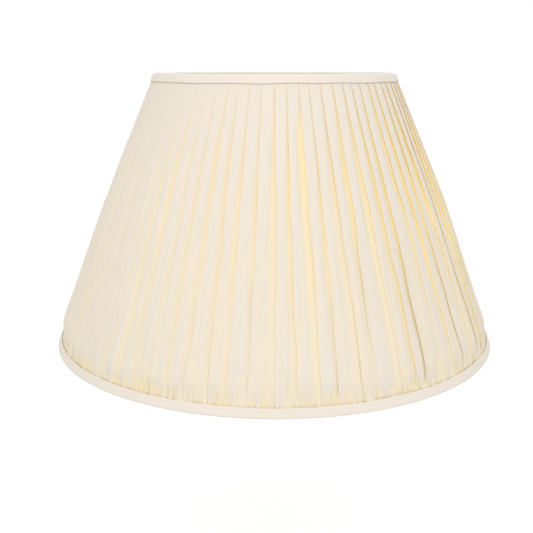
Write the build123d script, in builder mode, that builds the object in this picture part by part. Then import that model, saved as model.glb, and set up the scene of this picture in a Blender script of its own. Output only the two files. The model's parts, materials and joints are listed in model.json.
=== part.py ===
"""A pleated empire lamp shade: a wire frame wound with tape, a pleated cloth cover, a cloth
lining, bias binding round both rims, and a swivelling gimbal that carries the fitter ring.

Millimetres, +Z up. The origin is on the shade's axis, level with the foot of the bottom rim.
The gimbal's pivots are on the X axis. In a section through the frame, "out" is the distance
outwards from the line through the middles of the two ring wires, square to that line.
"""

from build123d import *

import os
from math import atan2, cos, degrees, hypot, sin, tan

# ---------------------------------------------------------------- driving dimensions
# Wire frame
bottom_ring_radius = 219.0  # to the middle of the wire
top_ring_radius = 116.5  # to the middle of the wire
frame_height = 262.0  # between the middles of the two ring wires
ring_wire = 4.0  # wire diameter
strut_wire = 3.0
strut_count = 8  # an even number

# Cloth layers, each as thick as it is when folded and stretched in place
ring_tape = 0.5
strut_tape = 0.4
cover_cloth = 1.2
lining_cloth = 0.4
binding_cloth = 0.8
layer_gap = 0.1  # between one cloth layer and the next
hem_gap = 0.6  # from the cut edge of the cover or lining to the fold of the binding
cover_panel_count = 4
top_binding_width = 8.0  # what shows outside, along the slope
bottom_binding_width = 9.0
binding_turn_in = 7.0  # what shows inside, along the slope
binding_corner = 1.6  # radius of the fold over the rim
binding_inner_corner = 0.5
binding_edge = 0.25  # rounding of the strip's folded edges

# Pivot
pivot_radius = 2.0
pivot_clearance = 0.05  # radial, in the arm's eye and the washer
pivot_end_gap = 0.1
washer_lap = 2.6  # how far the washer runs past the pivot, radially
washer_thickness = 0.8
rivet_head_lap = 2.0
rivet_head_height = 1.8
rivet_tail_lap = 1.4
rivet_tail_height = 1.0
rivet_rounding = 0.7  # share of a rivet end's height that is rounded off

# Gimbal lugs, one welded to each side of the top ring
lug_steel = 1.5
lug_reach = 14.0  # from the middle of the ring wire to the lug's hanging leg
lug_bend = 1.5  # inside radius
lug_slit_gap = 0.4  # room round the lug where it comes through the cloth
pivot_drop = 9.0  # from the middle of the ring wire down to the pivot
eye_side_margin = 0.4  # from the washer's edge to the side of the lug or arm
eye_end_margin = 0.9  # from the washer's edge to the end of the lug or arm
eye_flat = 2.0  # what is left straight between the two rounded corners of that end

# Gimbal arms and fitter ring
arm_steel = 1.5
arm_leg = 8.0  # straight length below the pivot
arm_bend = 3.0  # radius at the middle of the strip
arm_end_inset = 2.0  # from the edge of the fitter's hole to the arm's end
fitter_drop = 22.0  # from the pivot down to the underside of the fitter ring
fitter_hole_radius = 21.0
fitter_width = 10.0
fitter_steel = 1.5
fitter_rim_height = 3.0  # overall, at the turned-up rim
fitter_rim_width = 1.5
fitter_outer_corner = 1.2
fitter_inner_corner = 0.6
fitter_rim_rounding = 0.5

# Plastic reducer that makes the fitter ring fit a small lampholder
reducer_hole_radius = 14.5
reducer_lap = 3.0  # how far the flange runs past the fitter's hole, radially
reducer_flange = 1.2
reducer_clearance = 0.3  # radial, in the fitter ring
reducer_proud = 0.3  # below the fitter ring's underside
reducer_seat_gap = 0.05

# Cloth sleeves that cover the slit where each lug comes through the lining
sleeve_cloth = 0.5
sleeve_gap = 0.05
sleeve_end_gap = 1.7  # from the sleeve's end to the start of the lug's bend

# ---------------------------------------------------------------- worked-out values
slope = atan2(bottom_ring_radius - top_ring_radius, frame_height)
slant_length = hypot(bottom_ring_radius - top_ring_radius, frame_height)

# The layers outwards and inwards from the middle of the wire
taped_radius = ring_wire / 2 + ring_tape
cover_inside = taped_radius + layer_gap
cover_outside = cover_inside + cover_cloth
outer_leaf_inside = cover_outside + layer_gap
outer_leaf_outside = outer_leaf_inside + binding_cloth
lining_outside = -(taped_radius + layer_gap)
lining_inside = lining_outside - lining_cloth
inner_leaf_outside = lining_inside - layer_gap
inner_leaf_inside = inner_leaf_outside - binding_cloth

rim_depth = taped_radius + layer_gap + hem_gap + binding_cloth  # rim to middle of the wire
bottom_ring_z = rim_depth
top_ring_z = bottom_ring_z + frame_height
overall_height = top_ring_z + rim_depth

# No strut meets a gimbal lug, because the first stands half a pitch from the X axis.
strut_pitch = 360 / strut_count
strut_angles = [strut_pitch / 2 + strut_pitch * i for i in range(strut_count)]

# Two opposite struts carry the lining's side seams.
seam_strut_right = 0
seam_strut_left = strut_count // 2

washer_radius = pivot_radius + washer_lap
lug_width = 2 * (washer_radius + eye_side_margin)
arm_width = lug_width
eye_reach = washer_radius + eye_end_margin  # from the pivot to the end of the lug or arm
eye_corner = (lug_width - eye_flat) / 2
lug_clearance = lug_steel / 2 + lug_slit_gap

pivot_z = top_ring_z - pivot_drop
fitter_z = pivot_z - fitter_drop
lug_inner_x = top_ring_radius - lug_reach  # inner face of the lug's hanging leg
rivet_tail_x = lug_inner_x + lug_steel
eye_outer_x = lug_inner_x - washer_thickness - pivot_end_gap
eye_inner_x = eye_outer_x - arm_steel
rivet_head_x = eye_inner_x - pivot_end_gap
fitter_outer_radius = fitter_hole_radius + fitter_width


def on_slope(out, z):
    """Radius at height z of the line that runs `out` outwards from the frame's slope."""
    return bottom_ring_radius + out / cos(slope) - (z - bottom_ring_z) * tan(slope)


def cloth_band(inside, outside, low_z, high_z):
    """Corners of a layer's section between two heights, cut level at both ends."""
    return [
        (on_slope(inside, low_z), low_z),
        (on_slope(outside, low_z), low_z),
        (on_slope(outside, high_z), high_z),
        (on_slope(inside, high_z), high_z),
    ]


def strut_plane(angle, along):
    """The plane square to a strut, `along` up from the middle of the bottom ring wire."""
    radius = bottom_ring_radius - along * sin(slope)
    height = bottom_ring_z + along * cos(slope)
    turned = Plane.XY.rotated((0, 0, angle))
    return Plane(
        origin=turned.from_local_coords(Vector(radius, 0, height)),
        x_dir=turned.from_local_coords(Vector(0, 1, 0)),
        z_dir=turned.from_local_coords(Vector(-sin(slope), 0, cos(slope))),
    )


def pivot_plane(side, x):
    """The plane across a pivot's axis, x outwards from the shade's axis, facing outwards."""
    facing = Plane.YZ if side > 0 else Plane.YZ.rotated((0, 0, 180))
    return facing.offset(x).shift_origin((side * x, 0, pivot_z))


def cut_lug_slits(above, below):
    """Cuts the cloth being built clear of both lugs, between two distances from the ring wire."""
    for side in (-1, 1):
        centre = (side * (top_ring_radius - lug_reach / 2), 0, top_ring_z + (above - below) / 2)
        with Locations(centre):
            Box(lug_reach, lug_width + 2 * lug_slit_gap, above + below, mode=Mode.SUBTRACT)


def save(piece, name):
    """Labels a finished piece and writes it to its own STEP file."""
    piece.part.label = name
    export_step(piece.part, f"parts/{name}.step")


os.makedirs("parts", exist_ok=True)

# ---------------------------------------------------------------- wire frame
with BuildPart() as bottom_ring:
    with Locations((0, 0, bottom_ring_z)):
        Torus(bottom_ring_radius, ring_wire / 2)
save(bottom_ring, "bottom_ring")

with BuildPart() as top_ring:
    with Locations((0, 0, top_ring_z)):
        Torus(top_ring_radius, ring_wire / 2)
save(top_ring, "top_ring")

for number, angle in enumerate(strut_angles, start=1):
    with BuildPart() as strut:
        with BuildSketch(strut_plane(angle, 0)):
            Circle(strut_wire / 2)
        extrude(amount=slant_length)
        add(bottom_ring.part, mode=Mode.SUBTRACT)
        add(top_ring.part, mode=Mode.SUBTRACT)
    save(strut, f"strut_{number}")

# ---------------------------------------------------------------- tape wound on the wires
# The tape crosses itself at each strut and leaves a square opening for it.
strut_opening = strut_wire + 2 * layer_gap
for name, radius, height in (
    ("bottom_ring_tape", bottom_ring_radius, bottom_ring_z),
    ("top_ring_tape", top_ring_radius, top_ring_z),
):
    with BuildPart() as winding:
        with Locations((0, 0, height)):
            Torus(radius, taped_radius)
            Torus(radius, ring_wire / 2, mode=Mode.SUBTRACT)
        for angle in strut_angles:
            with BuildSketch(strut_plane(angle, 0)):
                Rectangle(strut_opening, strut_opening)
        extrude(amount=slant_length, mode=Mode.SUBTRACT)
        if height == top_ring_z:
            cut_lug_slits(lug_clearance, lug_clearance)
    save(winding, name)

# The two struts that carry the lining's side seams are wound as well.
tape_end = taped_radius + 2 * layer_gap
for name, index in (("strut_tape_right", seam_strut_right), ("strut_tape_left", seam_strut_left)):
    with BuildPart() as winding:
        with BuildSketch(strut_plane(strut_angles[index], tape_end)):
            Circle(strut_wire / 2 + strut_tape)
            Circle(strut_wire / 2, mode=Mode.SUBTRACT)
        extrude(amount=slant_length - 2 * tape_end)
    save(winding, name)

# ---------------------------------------------------------------- cover and lining
cloth_low_z = binding_cloth + hem_gap
cloth_high_z = overall_height - cloth_low_z
cover_section = cloth_band(cover_inside, cover_outside, cloth_low_z, cloth_high_z)
lining_section = cloth_band(lining_inside, lining_outside, cloth_low_z, cloth_high_z)

panel_names = ("cover_panel_back", "cover_panel_left", "cover_panel_front", "cover_panel_right")
panel_arc = 360 / cover_panel_count
for index, name in enumerate(panel_names):
    first_edge = panel_arc / 2 + index * panel_arc
    with BuildPart() as panel:
        with BuildSketch(Plane.XZ.rotated((0, 0, first_edge))):
            with BuildLine():
                Polyline(cover_section, close=True)
            make_face()
        revolve(axis=Axis.Z, revolution_arc=panel_arc)
    save(panel, name)

for name, index in (("lining_back", seam_strut_right), ("lining_front", seam_strut_left)):
    with BuildPart() as half:
        with BuildSketch(Plane.XZ.rotated((0, 0, strut_angles[index]))):
            with BuildLine():
                Polyline(lining_section, close=True)
            make_face()
        revolve(axis=Axis.Z, revolution_arc=180)
        cut_lug_slits(rim_depth, lug_clearance)
    save(half, name)


# ---------------------------------------------------------------- bias binding
def binding_section(rim_z, inward, outer_width):
    """Corners and roundings of a bias strip folded over a rim.

    `inward` is +1 where its leaves run up from the rim, and -1 where they run down.
    """
    fold_z = rim_z + inward * binding_cloth
    outer_tip_z = rim_z + inward * outer_width * cos(slope)
    inner_tip_z = rim_z + inward * binding_turn_in * cos(slope)
    corners = [
        (on_slope(outer_leaf_outside, outer_tip_z), outer_tip_z, binding_edge),
        (on_slope(outer_leaf_outside, rim_z), rim_z, binding_corner),
        (on_slope(inner_leaf_inside, rim_z), rim_z, binding_corner),
        (on_slope(inner_leaf_inside, inner_tip_z), inner_tip_z, binding_edge),
        (on_slope(inner_leaf_outside, inner_tip_z), inner_tip_z, 0),
        (on_slope(inner_leaf_outside, fold_z), fold_z, binding_inner_corner),
        (on_slope(outer_leaf_inside, fold_z), fold_z, binding_inner_corner),
        (on_slope(outer_leaf_inside, outer_tip_z), outer_tip_z, 0),
    ]
    return [(x, z) for x, z, _ in corners], [radius for _, _, radius in corners]


for name, rim_z, inward, outer_width in (
    ("bottom_binding", 0, 1, bottom_binding_width),
    ("top_binding", overall_height, -1, top_binding_width),
):
    points, radii = binding_section(rim_z, inward, outer_width)
    with BuildPart() as binding:
        with BuildSketch(Plane.XZ):
            with BuildLine():
                FilletPolyline(*points, radius=radii, close=True)
            make_face()
        revolve(axis=Axis.Z)
        if name == "top_binding":
            cut_lug_slits(lug_clearance, binding_turn_in)
    save(binding, name)

# ---------------------------------------------------------------- gimbal, one side at a time
crown_z = top_ring_z + lug_steel / 2
shelf_z = top_ring_z - lug_steel / 2
lug_foot_z = pivot_z - eye_reach
pad_z = fitter_z - arm_steel / 2
arm_end_x = fitter_hole_radius + arm_end_inset
arm_middle_x = eye_outer_x - arm_steel / 2
arm_top_z = pivot_z + eye_reach
sleeve_hole_width = lug_width + 2 * sleeve_gap
sleeve_hole_height = lug_steel + 2 * sleeve_gap
sleeve_width = sleeve_hole_width + 2 * sleeve_cloth
sleeve_height = sleeve_hole_height + 2 * sleeve_cloth
sleeve_end_x = rivet_tail_x + lug_bend + sleeve_end_gap

# A sleeve's square root stays inside the binding's round inner face.
leaf_radius = on_slope(inner_leaf_inside, top_ring_z + sleeve_height / 2)
sleeve_root_x = (leaf_radius**2 - (sleeve_width / 2) ** 2) ** 0.5 - layer_gap

for side, hand in ((-1, "left"), (1, "right")):
    with BuildPart() as lug:
        with BuildSketch(Plane.XZ):
            with BuildLine():
                FilletPolyline(
                    (side * top_ring_radius, crown_z),
                    (side * lug_inner_x, crown_z),
                    (side * lug_inner_x, lug_foot_z),
                    (side * rivet_tail_x, lug_foot_z),
                    (side * rivet_tail_x, shelf_z),
                    (side * top_ring_radius, shelf_z),
                    radius=[0, lug_bend + lug_steel, 0, 0, lug_bend, 0],
                    close=True,
                )
            make_face()
        extrude(amount=lug_width / 2, both=True)
        fillet(lug.edges().filter_by(Axis.X).group_by(Axis.Z)[0], eye_corner)
        with BuildSketch(pivot_plane(side, lug_inner_x)):
            Circle(pivot_radius)
        extrude(amount=lug_steel, mode=Mode.SUBTRACT)
        add(top_ring.part, mode=Mode.SUBTRACT)
    save(lug, f"gimbal_lug_{hand}")

    with BuildPart() as washer:
        with BuildSketch(pivot_plane(side, lug_inner_x)):
            Circle(washer_radius)
            Circle(pivot_radius + pivot_clearance, mode=Mode.SUBTRACT)
        extrude(amount=-washer_thickness)
    save(washer, f"pivot_washer_{hand}")

    with BuildPart() as rivet:
        with BuildSketch(pivot_plane(side, rivet_head_x)):
            Circle(pivot_radius)
        extrude(amount=rivet_tail_x - rivet_head_x)
        with BuildSketch(pivot_plane(side, rivet_tail_x)):
            Circle(pivot_radius + rivet_tail_lap)
        extrude(amount=rivet_tail_height)
        with BuildSketch(pivot_plane(side, rivet_head_x)):
            Circle(pivot_radius + rivet_head_lap)
        extrude(amount=-rivet_head_height)
        ends = rivet.edges().filter_by(GeomType.CIRCLE).group_by(Axis.X)
        head_end, tail_end = (ends[0], ends[-1]) if side > 0 else (ends[-1], ends[0])
        fillet(head_end, rivet_head_height * rivet_rounding)
        fillet(tail_end, rivet_tail_height * rivet_rounding)
    save(rivet, f"pivot_rivet_{hand}")

    with BuildPart() as arm:
        with BuildLine(Plane.XZ):
            FilletPolyline(
                (side * arm_middle_x, arm_top_z),
                (side * arm_middle_x, pivot_z - arm_leg),
                (side * (fitter_outer_radius + arm_bend), pad_z),
                (side * arm_end_x, pad_z),
                radius=arm_bend,
            )
        with BuildSketch(Plane.XY.offset(arm_top_z)):
            with Locations((side * arm_middle_x, 0)):
                Rectangle(arm_steel, arm_width)
        sweep()
        fillet(arm.edges().filter_by(Axis.X).group_by(Axis.Z)[-1], eye_corner)
        with BuildSketch(pivot_plane(side, eye_inner_x)):
            Circle(pivot_radius + pivot_clearance)
        extrude(amount=arm_steel, mode=Mode.SUBTRACT)
    save(arm, f"gimbal_arm_{hand}")

    with BuildPart() as sleeve:
        with BuildSketch(Plane.YZ.offset(side * sleeve_root_x)):
            with Locations((0, top_ring_z)):
                Rectangle(sleeve_width, sleeve_height)
                Rectangle(sleeve_hole_width, sleeve_hole_height, mode=Mode.SUBTRACT)
        extrude(amount=side * (sleeve_end_x - sleeve_root_x))
    save(sleeve, f"lug_sleeve_{hand}")

# ---------------------------------------------------------------- fitter ring and reducer
rim_inside = fitter_outer_radius - fitter_rim_width
rim_top_z = fitter_z + fitter_rim_height
with BuildPart() as fitter_ring:
    with BuildSketch(Plane.XZ):
        with BuildLine():
            FilletPolyline(
                (fitter_hole_radius, fitter_z),
                (fitter_outer_radius, fitter_z),
                (fitter_outer_radius, rim_top_z),
                (rim_inside, rim_top_z),
                (rim_inside, fitter_z + fitter_steel),
                (fitter_hole_radius, fitter_z + fitter_steel),
                radius=[
                    0,
                    fitter_outer_corner,
                    fitter_rim_rounding,
                    fitter_rim_rounding,
                    fitter_inner_corner,
                    0,
                ],
                close=True,
            )
        make_face()
    revolve(axis=Axis.Z)
save(fitter_ring, "fitter_ring")

reducer_low_z = fitter_z - reducer_proud
flange_low_z = fitter_z + fitter_steel + reducer_seat_gap
reducer_top_z = flange_low_z + reducer_flange
with BuildPart() as reducer:
    with BuildSketch(Plane.XY.offset(reducer_low_z)):
        Circle(fitter_hole_radius - reducer_clearance)
    extrude(amount=flange_low_z - reducer_low_z)
    with BuildSketch(Plane.XY.offset(flange_low_z)):
        Circle(fitter_hole_radius + reducer_lap)
    extrude(amount=reducer_flange)
    with BuildSketch(Plane.XY.offset(reducer_low_z)):
        Circle(reducer_hole_radius)
    extrude(amount=reducer_top_z - reducer_low_z, mode=Mode.SUBTRACT)
save(reducer, "reducer_ring")

print("slope", round(degrees(slope), 2), "overall height", round(overall_height, 2))
print("widest", round(2 * on_slope(outer_leaf_outside, binding_corner), 2))
print("pivot", round(pivot_z, 3), "fitter underside", round(fitter_z, 3))
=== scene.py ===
# %% [markdown]
# # A pleated lamp shade
# This lesson dresses a finished frame of wire and sheet metal in cloth. The real shade is a wire
# frame wound with tape, a pleated outer cover, a stretched lining, and a bias strip folded over
# each rim. A gimbal in the top opening holds the lampholder. Everything is in metres.

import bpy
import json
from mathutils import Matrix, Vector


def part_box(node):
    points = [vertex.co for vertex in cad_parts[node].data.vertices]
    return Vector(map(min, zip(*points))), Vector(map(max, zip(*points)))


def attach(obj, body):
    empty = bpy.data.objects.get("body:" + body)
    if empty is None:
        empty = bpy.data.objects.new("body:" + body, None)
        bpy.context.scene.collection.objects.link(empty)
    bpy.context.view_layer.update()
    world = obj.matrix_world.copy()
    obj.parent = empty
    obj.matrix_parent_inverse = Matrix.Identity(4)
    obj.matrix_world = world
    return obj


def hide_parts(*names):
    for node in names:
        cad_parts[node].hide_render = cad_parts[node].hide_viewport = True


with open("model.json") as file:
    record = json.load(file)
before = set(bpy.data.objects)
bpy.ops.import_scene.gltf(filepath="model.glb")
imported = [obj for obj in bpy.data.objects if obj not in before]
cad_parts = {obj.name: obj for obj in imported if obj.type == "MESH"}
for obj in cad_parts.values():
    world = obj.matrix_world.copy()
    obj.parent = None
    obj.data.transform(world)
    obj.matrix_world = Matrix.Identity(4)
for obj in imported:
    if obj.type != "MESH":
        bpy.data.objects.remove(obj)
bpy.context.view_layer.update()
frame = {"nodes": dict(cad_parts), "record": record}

# %% Tools of the trade
import json
import math

import bmesh
import bpy
from mathutils import Vector, noise as lumps

MM = 0.001


def mean_ring(node):
    """Radius and height of the middle of a ring of wire, read from its box."""
    low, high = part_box(node)
    wire = high.z - low.z
    return (high.x - low.x) / 2 - wire / 2, (low.z + high.z) / 2


BOTTOM_RADIUS, BOTTOM_Z = mean_ring("bottom_ring")
TOP_RADIUS, TOP_Z = mean_ring("top_ring")
SLOPE = math.atan2(BOTTOM_RADIUS - TOP_RADIUS, TOP_Z - BOTTOM_Z)
RIM_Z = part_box("top_binding")[1].z
print(f"bottom ring {BOTTOM_RADIUS:.4f} m, top ring {TOP_RADIUS:.4f} m")
print(f"slope {math.degrees(SLOPE):.1f} degrees")


def on_slope(out, z):
    """Radius at height z of the line that runs `out` outwards from the frame's wires."""
    return BOTTOM_RADIUS + out / math.cos(SLOPE) - (z - BOTTOM_Z) * math.tan(SLOPE)


# %% [markdown]
# ## Sums written as nodes
# A node tree is arithmetic drawn with boxes and wires. Long sums are easier to read as text, so
# this small class lets `a * b + c` add the three boxes by itself. The same class serves
# geometry trees and material trees, because both use the same Math node.

# %% A socket that can be added and multiplied
def plug(tree, socket, value):
    """Feeds a socket from another node's output, or sets its plain value."""
    if isinstance(value, Field):
        tree.links.new(value.socket, socket)
    elif value is not None:
        socket.default_value = value


class Field:
    """One output in a node tree. Sums on it add Math nodes."""

    def __init__(self, tree, socket):
        self.tree = tree
        self.socket = socket

    def math(self, operation, *others):
        node = self.tree.nodes.new("ShaderNodeMath")
        node.operation = operation
        for socket, value in zip(node.inputs, (self, *others)):
            plug(self.tree, socket, value)
        return Field(self.tree, node.outputs[0])

    def __add__(self, other):
        return self.math("ADD", other)

    __radd__ = __add__

    def __sub__(self, other):
        return self.math("SUBTRACT", other)

    def __rsub__(self, other):
        return self * -1 + other

    def __mul__(self, other):
        return self.math("MULTIPLY", other)

    __rmul__ = __mul__

    def __truediv__(self, other):
        return self.math("DIVIDE", other)

    def step(self, low, high, start=0.0, end=1.0):
        """Rises smoothly from start to end as this goes from low to high."""
        node = self.tree.nodes.new("ShaderNodeMapRange")
        node.interpolation_type = "SMOOTHSTEP"
        ends = {"Value": self, "From Min": low, "From Max": high, "To Min": start, "To Max": end}
        for name, value in ends.items():
            plug(self.tree, node.inputs[name], value)
        return Field(self.tree, node.outputs[0])

    def to(self, other, share):
        """Goes from this to other as share goes from 0 to 1."""
        return self + (other - self) * share


def add_node(tree, kind, settings=None, **inputs):
    """Adds a node, with settings such as its mode, and inputs by name with _ for a space."""
    node = tree.nodes.new(kind)
    for key, value in (settings or {}).items():
        setattr(node, key, value)
    for name, value in inputs.items():
        wanted = name.replace("_", " ")
        socket = next(s for s in node.inputs if s.name == wanted and s.enabled)
        plug(tree, socket, value)
    return node


def output(node, name=None):
    """The named output of a node as a Field, or its first one that is in use."""
    found = next(s for s in node.outputs if s.enabled and name in (None, s.name))
    return Field(node.id_data, found)


def vector(tree, x, y, z):
    return output(add_node(tree, "ShaderNodeCombineXYZ", X=x, Y=y, Z=z))


def noise(tree, where, scale=1.0, detail=2.0, roughness=0.5):
    """Smooth random values about zero, from roughly -0.5 to 0.5."""
    node = add_node(tree, "ShaderNodeTexNoise", Vector=where, Scale=scale, Detail=detail, Roughness=roughness)
    return Field(tree, node.outputs[0]) - 0.5


# %% [markdown]
# ## Running a geometry tree
# A Geometry Nodes modifier is live: it is worked out again whenever something changes. A piece
# that is finished should be plain, so this helper sets the tree's inputs, takes the evaluated
# mesh and drops the modifier.

# %% Tree in, plain mesh out
def new_tree(name, inputs):
    """An empty geometry tree, its named inputs as Fields, and what finishes it."""
    tree = bpy.data.node_groups.new(name, "GeometryNodeTree")
    tree.interface.new_socket(name="Geometry", in_out="OUTPUT", socket_type="NodeSocketGeometry")
    for label, kind in inputs.items():
        tree.interface.new_socket(name=label, in_out="INPUT", socket_type=f"NodeSocket{kind}")
    entry = tree.nodes.new("NodeGroupInput")
    return tree, {label: Field(tree, entry.outputs[label]) for label in inputs}


def finish_tree(tree, mesh, material):
    """Ends a tree the way that an export needs: real geometry, smooth, with its material."""
    real = output(add_node(tree, "GeometryNodeRealizeInstances", Geometry=mesh))
    smooth = output(add_node(tree, "GeometryNodeSetShadeSmooth", Geometry=real))
    dressed = output(add_node(tree, "GeometryNodeSetMaterial", Geometry=smooth, Material=material))
    tree.links.new(dressed.socket, tree.nodes.new("NodeGroupOutput").inputs[0])


def grown(name, tree, values, path=None):
    """A plain mesh made by a geometry tree from these values, along a path if it has one."""
    piece = bpy.data.objects.new(name, path or bpy.data.meshes.new(name))
    bpy.context.scene.collection.objects.link(piece)
    modifier = piece.modifiers.new("grow", "NODES")
    modifier.node_group = tree
    keys = {item.name: item.identifier for item in tree.interface.items_tree if item.in_out == "INPUT"}
    for label, value in values.items():
        modifier[keys[label]] = value
    bpy.context.view_layer.update()
    graph = bpy.context.evaluated_depsgraph_get()
    mesh = bpy.data.meshes.new_from_object(
        piece.evaluated_get(graph), preserve_all_data_layers=True, depsgraph=graph,
    )
    piece.modifiers.remove(modifier)
    if path:
        bpy.data.objects.remove(piece)
        piece = bpy.data.objects.new(name, mesh)
        bpy.context.scene.collection.objects.link(piece)
    piece.data = mesh
    print(f"{name}: {len(mesh.polygons)} faces, {[round(x, 3) for x in piece.dimensions]} m")
    return piece


# %% [markdown]
# ## Camera
# The shade is seen the way a small product on a table is. A lens of about 54 mm, some 82 cm
# away and level with the top rim, looks down at it by 14 degrees. It is aimed a hair to one
# side of the axis instead of being shifted, so that it stays true in every other view.

# %% Set up the camera
CAMERA_BACK = 0.8177
CAMERA_HEIGHT = 0.277
CAMERA_PITCH = 0.2469
CAMERA_YAW = 0.00963
LENS = 53.85
SENSOR_WIDTH = 36

camera = bpy.data.objects.new("camera", bpy.data.cameras.new("camera"))
bpy.context.scene.collection.objects.link(camera)
camera.location = (0, -CAMERA_BACK, CAMERA_HEIGHT)
camera.rotation_euler = (math.pi / 2 - CAMERA_PITCH, 0, CAMERA_YAW)
camera.data.lens = LENS
camera.data.sensor_width = SENSOR_WIDTH
bpy.context.scene.camera = camera
print("camera", [round(x, 3) for x in camera.location])

# %% [markdown]
# ## Floor and light
# Cloth this pale shows its folds only by small steps of tone, so the light is broad and soft:
# a bright surround and one panel above and in front. The shade is shown where a lamp would hold
# it, some way above a pale floor, so light reaches its lining from below. The floor can be seen
# through from underneath, which leaves the lining open to view.

# %% One panel, in front and above
KEY_PLACE = (0.0, -1.5, 1.3)
KEY_SIZE = 0.8
KEY_POWER = 7.0
LIT_HEIGHT = 0.12

key = bpy.data.objects.new("key", bpy.data.lights.new("key", "AREA"))
bpy.context.scene.collection.objects.link(key)
key.data.size = KEY_SIZE
key.data.energy = KEY_POWER
key.location = KEY_PLACE
key.rotation_euler = (Vector((0, 0, LIT_HEIGHT)) - key.location).to_track_quat("-Z", "Y").to_euler()
print(f"key light of {KEY_POWER} W")

# %% [markdown]
# The surround is a little brighter above and in front than below and behind. The backdrop that
# the camera sees is plain white, which a Light Path node keeps apart from the light it gives.

# %% The surround
SURROUND = 0.74
MORE_ABOVE = 0.22
MORE_IN_FRONT = 0.16

world = bpy.data.worlds.new("studio")
bpy.context.scene.world = world
world.use_nodes = True
backdrop = next(n for n in world.node_tree.nodes if n.type == "BACKGROUND")
seen = output(add_node(world.node_tree, "ShaderNodeLightPath"), "Is Camera Ray")
direction = output(add_node(world.node_tree, "ShaderNodeTexCoord"), "Generated")
aim = add_node(world.node_tree, "ShaderNodeSeparateXYZ", Vector=direction)
front_and_above = output(aim, "Z") * MORE_ABOVE - output(aim, "Y") * MORE_IN_FRONT + SURROUND
backdrop.inputs["Color"].default_value = (1, 1, 1, 1)
plug(world.node_tree, backdrop.inputs["Strength"], front_and_above.to(1.0, seen))
bpy.context.scene.view_settings.view_transform = "Standard"
print(f"surround of strength {SURROUND}")

# %% The floor
FLOOR_HALF = 3.0
FLOOR_Z = -0.38
FLOOR_GREY = 0.82
FLOOR_GLOW = 0.3

floor_mesh = bpy.data.meshes.new("floor")
corners = ((-1, -1), (1, -1), (1, 1), (-1, 1))
floor_mesh.from_pydata([(x * FLOOR_HALF, y * FLOOR_HALF, FLOOR_Z) for x, y in corners], [], [(0, 1, 2, 3)])
floor = bpy.data.objects.new("floor", floor_mesh)
bpy.context.scene.collection.objects.link(floor)
floor_paint = bpy.data.materials.new("floor_paint")
floor_paint.use_nodes = True
floor_surface = floor_paint.node_tree.nodes["Principled BSDF"]
floor_surface.inputs["Base Color"].default_value = (FLOOR_GREY, FLOOR_GREY, FLOOR_GREY, 1)
floor_surface.inputs["Roughness"].default_value = 0.9
floor_surface.inputs["Emission Color"].default_value = (1, 1, 1, 1)
glow = output(add_node(floor_paint.node_tree, "ShaderNodeLightPath"), "Is Camera Ray") * FLOOR_GLOW
plug(floor_paint.node_tree, floor_surface.inputs["Emission Strength"], glow)
from_below = output(add_node(floor_paint.node_tree, "ShaderNodeNewGeometry"), "Backfacing")
plug(floor_paint.node_tree, floor_surface.inputs["Alpha"], 1 - from_below)
floor.data.materials.append(floor_paint)
print(f"floor {-FLOOR_Z} m below the rim")

# %% [markdown]
# ## Cloth
# Plain weave is one thread over and one thread under. Two sets of ripples at right angles, each
# shown where the other dips, give that. Real yarn is uneven, so some threads swell into slubs.
# The pattern is built once, as a group, and each cloth sets its own thread count and angle.

# %% The weave group
def make_weave():
    tree = bpy.data.node_groups.new("plain weave", "ShaderNodeTree")
    for label, kind, value in (
        ("Vector", "Vector", (0, 0, 0)),
        ("Threads per metre", "Float", 2600.0),
        ("Angle", "Float", 0.0),
        ("Slubs", "Float", 0.5),
    ):
        socket = tree.interface.new_socket(name=label, in_out="INPUT", socket_type=f"NodeSocket{kind}")
        socket.default_value = value
    for label in ("Height", "Tone"):
        tree.interface.new_socket(name=label, in_out="OUTPUT", socket_type="NodeSocketFloat")
    entry = tree.nodes.new("NodeGroupInput")
    leave = tree.nodes.new("NodeGroupOutput")
    threads = Field(tree, entry.outputs["Threads per metre"])
    turned = add_node(
        tree, "ShaderNodeVectorRotate", {"rotation_type": "Z_AXIS"},
        Vector=Field(tree, entry.outputs["Vector"]), Angle=Field(tree, entry.outputs["Angle"]),
    )
    parts = add_node(tree, "ShaderNodeSeparateXYZ", Vector=output(turned))
    across = output(parts, "X")
    along = output(parts, "Y")
    # One thread is half a wave wide.
    warp = (across * threads * math.pi).math("SINE")
    weft = (along * threads * math.pi).math("SINE")
    over = (warp * weft).step(-0.35, 0.35)
    height = warp.math("ABSOLUTE").to(weft.math("ABSOLUTE"), over)
    # Slubs are long one way and thin the other, so their noise is stretched.
    long_slub = noise(tree, vector(tree, across * 70, along * 1500, 0), detail=3.0)
    short_slub = noise(tree, vector(tree, across * 1500, along * 60, 3.0), detail=3.0)
    slub = long_slub.step(0.12, 0.3) + short_slub.step(0.16, 0.3) * 0.4
    slub = slub * Field(tree, entry.outputs["Slubs"])
    streak = noise(tree, vector(tree, across * 22, along * 900, 7.0), detail=2.0)
    tree.links.new((height * 0.6 + slub).socket, leave.inputs["Height"])
    tree.links.new((streak * 0.5 + slub * 0.35 + (height - 0.5) * 0.15).socket, leave.inputs["Tone"])
    return tree


WEAVE = make_weave()
print("weave group with", len(WEAVE.nodes), "nodes")

# %% [markdown]
# The cover's colour is painted warmer and deeper inside the folds. This painted shade stands in for
# light that gets in there and bounces off cream cloth several times. A faint painted glow in the deepest
# folds stands in for light that comes through the cloth. The pleats carry that painted shade in a named
# attribute, and the material only has to read it.

# %% Cloth materials
def colour_mix(tree, share, first, second):
    """Blends two colours, each a plain value or the output of another mix."""
    node = tree.nodes.new("ShaderNodeMix")
    node.data_type = "RGBA"
    plug(tree, node.inputs["Factor"], share)
    for index, colour in ((6, first), (7, second)):
        plug(tree, node.inputs[index], colour if isinstance(colour, Field) else (*colour, 1))
    return Field(tree, node.outputs[2])


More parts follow.
